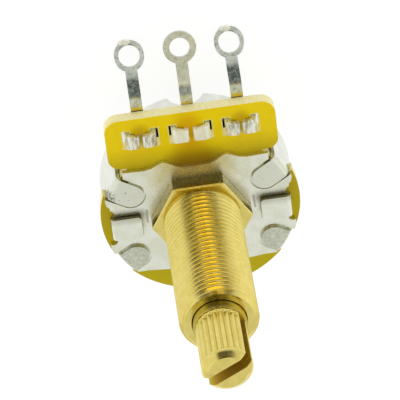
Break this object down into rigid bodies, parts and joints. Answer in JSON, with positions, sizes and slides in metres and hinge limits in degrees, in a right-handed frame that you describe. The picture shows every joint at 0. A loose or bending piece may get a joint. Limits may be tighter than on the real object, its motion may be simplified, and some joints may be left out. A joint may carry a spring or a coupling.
{
  "type": "rotary potentiometer",
  "caption": "24 mm rotary potentiometer with a long brass threaded bushing, a split knurled shaft and three solder lugs.",
  "frame": {"origin": "on the shaft axis, at the front face of the bushing's hexagonal flange, where the panel seats", "axes": "+Z along the shaft out of the panel, +Y towards the solder lugs, +X to the right seen from the front with the lugs up"},
  "size_m": [0.0242, 0.0354, 0.0402],
  "materials": {
    "can_steel": "bright tin-plated steel",
    "plate_nickel": "nickel-plated stamped steel",
    "brass": "turned brass",
    "ring_steel": "spring steel",
    "carrier": "moulded phenolic",
    "spring_bronze": "phosphor bronze",
    "laminate": "yellow laminate",
    "carbon": "printed carbon",
    "tinned_brass": "tin-plated brass"
  },
  "bodies": {
    "housing": {"can": "can_steel", "front_plate": "plate_nickel", "bushing": "brass", "board": "laminate", "resistance_track": "carbon", "terminal_left": "tinned_brass", "terminal_middle": "tinned_brass", "terminal_right": "tinned_brass"},
    "spindle": {"shaft": "brass", "retaining_ring": "ring_steel", "rotor": "carrier", "wiper_spring": "spring_bronze"}
  },
  "joints": [
    {"name": "shaft_turn", "type": "hinge", "parent": "housing", "child": "spindle", "pos_m": [0, 0, 0], "axis": [0, 0, 1], "range_deg": [-150, 150]}
  ]
}
